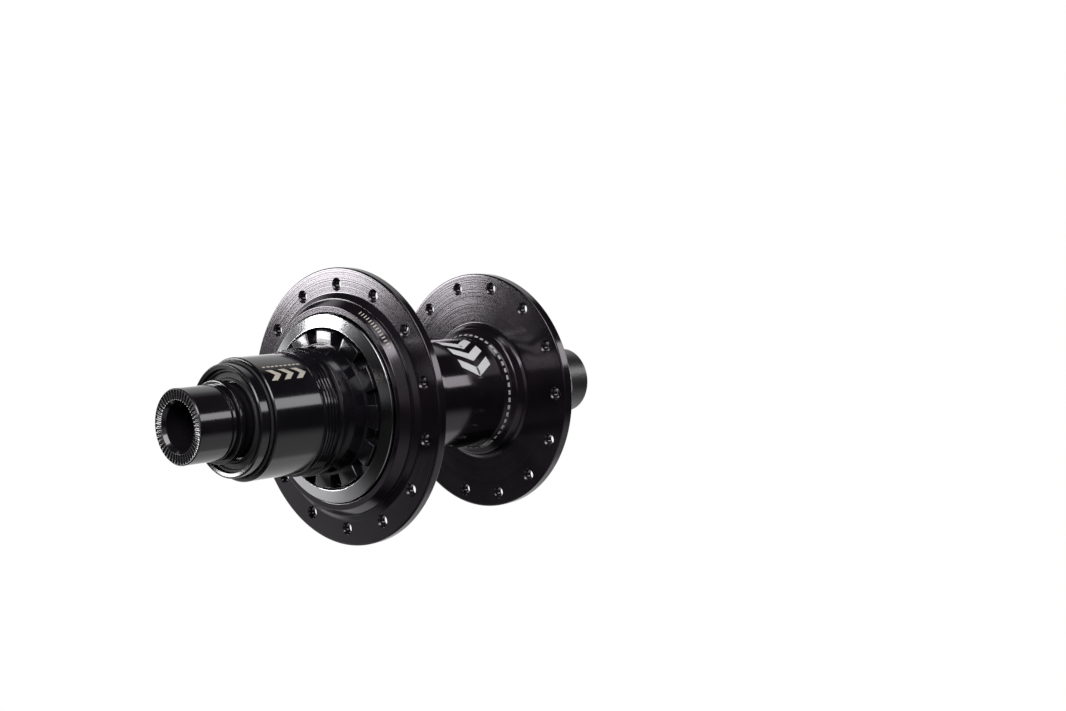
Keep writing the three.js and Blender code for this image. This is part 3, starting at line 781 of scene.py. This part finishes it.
driver_black = machined("driver_black", (0.0040, 0.0036, 0.0048), 0.0, 0.12, 0.014, groove_pitch=0.2,
                        mottle=0.045, index=1.62, fade=(0.0025, 0.002, 0.0028), cylinder_share=0.05,
                        sheen=(1.0, 0.98, 1.0))
columns = 288
driver_barrel, nose_radius, nose_groove, neck_radius = 15.7, 14.4, 14.1, 16.8
spline_top, carrier_radius, carrier_end = 20.9, 18.2, 58.4
driver_seat, driver_bore = 13.1, 11.5
thread_start, thread_pitch, thread_turns, rows_per_turn = 32.9, 1.0, 5, 12
thread_root, thread_crest = 15.75, 16.4
thread_rows = [(thread_start + k / rows_per_turn, thread_root, 0)
               for k in range(rows_per_turn * thread_turns + 1)]
section = rounded([
    # the nose, with its O-ring groove, and the smooth barrel
    (14.53, driver_seat, 0.05), (14.38, 13.9, 0.05), (14.3, 13.98, 0.04), (14.3, 14.1, 0.08),
    (14.6, nose_radius, 0.08), (17.0, nose_radius, 0.12), (17.0, nose_groove, 0.05),
    (17.9, nose_groove, 0.05), (17.9, 15.4, 0.1), (18.2, driver_barrel, 0.1),
    (32.7, driver_barrel, 0.1), (32.8, thread_root, 0.0),
    # the thread, the neck, the wall behind the splines and the pawl carrier
    *thread_rows, (38.1, 16.2, 0.1), (38.5, neck_radius, 0.15), (46.0, neck_radius, 0.1),
    (46.0, 17.4, 0.1), (49.0, 17.4, 0.2), (49.0, spline_top, 0.25), (50.2, spline_top, 0.25),
    (50.2, carrier_radius, 0.2), (carrier_end, carrier_radius, 0.3),
    # the bore and its two bearing seats
    (carrier_end, driver_seat, 0.3), (53.2, driver_seat, 0.1), (53.2, driver_bore, 0.2),
    (22.4, driver_bore, 0.2), (22.4, driver_seat, 0.1)])
stations = np.repeat(section[:, :1], columns, axis=1)
radii = np.repeat(section[:, 1:], columns, axis=1)
along = (stations - thread_start) / thread_pitch - np.arange(columns) / columns
steepness, flat_root, roundness, run_in = 1.9, 0.1, 0.7, 0.25
crest = np.clip(steepness * (1 - np.abs(2 * (along % 1) - 1)) - flat_root, 0, 1) ** roundness
starting = np.clip(along / run_in, 0, 1) * np.clip((thread_turns - 1 - along) / run_in, 0, 1)
cutting = ((stations > thread_start - 0.01) & (stations < thread_start + thread_turns + 0.01)
           & (np.abs(radii - thread_root) < 0.05))
radii = np.where(cutting, radii + (thread_crest - thread_root) * crest * starting, radii)
driver = ring_grid("driver_body_turned", stations, radii, driver_black)


def bar(name, outline, start_at, end_at, finish):
    """A prism along the axle. The outline's pairs are heights along Z and then X."""
    n = len(outline)
    points = [(x * mm, outer_face + s * mm, z * mm) for s in (start_at, end_at) for z, x in outline]
    faces = [(k, (k + 1) % n, n + (k + 1) % n, n + k) for k in range(n)]
    faces += [tuple(range(n)), tuple(range(n, 2 * n))]
    return new_piece(name, np.array(points), faces, finish)


def bevelled(piece, width, segments=2, degrees=35):
    modifier = piece.modifiers.new("edges", "BEVEL")
    modifier.width, modifier.segments = width * mm, segments
    modifier.limit_method, modifier.angle_limit = "ANGLE", math.radians(degrees)
    bpy.context.view_layer.update()
    return baked(piece)


def on_circle(radius, *degrees):
    return [(radius * math.cos(math.radians(a)), radius * math.sin(math.radians(a))) for a in degrees]


spline_foot, foot_half_angle, top_half_angle = 16.6, 10.2, 9.5
spline = bar("spline", [
    *on_circle(spline_foot, -foot_half_angle),
    *on_circle(spline_top, *np.linspace(-top_half_angle, top_half_angle, 9)),
    *on_circle(spline_foot, foot_half_angle)], 46.0, 49.5, driver_black)
cut(driver, round_axle("splines", bevelled(spline, width=0.38, segments=3), count=12, first=5,
                       finish=driver_black), "UNION")

pawls, pawl_spacing = 3, 120
pawl_heel, pawl_from, pawl_to, pocket_floor = 1.4, 52.8, 57.6, 14.2
pocket_side = pawl_reach + 0.9
heel = [(pawl_pivot - (pawl_heel + gap) * math.cos(math.radians(90 - a)),
         -(pawl_heel + gap) * math.sin(math.radians(90 - a))) for a in range(0, 61, 10)]
pocket = bar("pocket", [
    (20.2, -pawl_heel - gap), *heel,
    *on_circle(pocket_floor, *np.linspace(2, math.degrees(math.asin(pocket_side / pocket_floor)), 12)),
    (20.2, pocket_side)], pawl_from - gap, pawl_to + gap, driver_black)
cut(driver, round_axle("pockets", pocket, pawls, 0, driver_black))
fitted(driver, "driver_set", "black_anodised", "driver_body")

fitted(o_ring("nose_ring", station=17.45, radius=14.65, section=0.38, finish=seal_rubber),
       "driver_set", "seal_rubber", "driver_o_ring")

chevron_step, dash_step = 3.9, 1.35
chevron_halves = ([(19.8, 38.5), (21.7, 38.5), (23.8, 45.0), (21.9, 45.0)],
                  [(21.9, 45.0), (23.8, 45.0), (21.7, 51.5), (19.8, 51.5)])
first_dash = [(19.8, 33.0), (20.7, 33.0), (20.7, 34.6), (19.8, 34.6)]
driver_marks = [
    *[[(station + chevron_step * k, angle) for station, angle in half]
      for k in range(3) for half in chevron_halves],
    *[[(station + dash_step * k, angle) for station, angle in first_dash] for k in range(9)]]
fitted(inlay("driver_marks", driver_marks, lambda s: driver_barrel, mark_tan),
       "driver_set", "black_anodised")


# ---------------------------------------------------------------- pawls and springs
# Three pawls ground from tool steel rock in round heels. Under each, a bent strip of spring steel
# lies in the pocket and lifts the nose into the ratchet.

spring_steel = machined("spring_steel", (0.36, 0.37, 0.39), 1.0, 0.22, 0.002, groove_pitch=0.25,
                        mottle=0.10, fade=(0.05, 0.04, 0.02))
nose = np.array((math.sqrt(pawl_nose ** 2 - pawl_reach ** 2), pawl_reach))
nose_thickness, pressed = 2, math.radians(12)
under = nose * (pawl_nose - nose_thickness) / pawl_nose
pivot = np.array((pawl_pivot, 0.0))
turn = np.array(((math.cos(pressed), -math.sin(pressed)), (math.sin(pressed), math.cos(pressed))))
outline = [pivot + pawl_heel * np.array((math.cos(t), math.sin(t)))
           for t in np.radians(np.arange(180, 361, 10))]
outline += [np.array((nose[0] - 0.7, pawl_reach * 0.6)), nose, under]
outline = [tuple(pivot + turn @ (point - pivot)) for point in outline]
strip = [*on_circle(14.5, *np.linspace(12, 24, 8)), *on_circle(15.7, 25.5, 24.4),
         *on_circle(14.8, *np.linspace(23.4, 12, 8))]
for k in range(pawls):
    pawl = bevelled(bar("pawl", outline, pawl_from, pawl_to, tool_steel), 0.12)
    fitted(round_axle(f"pawl_{k + 1}_ground", pawl, 1, pawl_spacing * k, tool_steel),
           f"pawl_{k + 1}", "tool_steel", f"pawl_{k + 1}")
    leaf = bar("leaf", strip, 53.6, 56.8, spring_steel)
    fitted(round_axle(f"pawl_spring_{k + 1}_leaf", leaf, 1, pawl_spacing * k, spring_steel),
           "driver_set", "spring_steel", f"pawl_spring_{k + 1}")


# ---------------------------------------------------------------- end seals
# Moulded rubber discs that close the driver body's mouth and the shell's disc end. Each has a
# raised rim, and a lip that runs close to the end cap.

lip_radius = 10.0
for name, body, near, far, rim in (("driver_end_seal", "driver_set", 15.4, 16.6, 13.0),
                                   ("disc_end_seal", "shell_set", 125.9, 124.7, 15.0)):
    depth = far - near
    fitted(turned(f"{name}_disc", [
        (far, lip_radius), (near + depth * 0.15, lip_radius),
        (near + depth * 0.15, lip_radius + 0.5), (near + depth * 0.5, lip_radius + 0.9),
        (near + depth * 0.5, rim - 0.9), (near, rim - 0.6), (near, rim), (far, rim)],
        seal_rubber, plain=0.12), body, "seal_rubber", name)
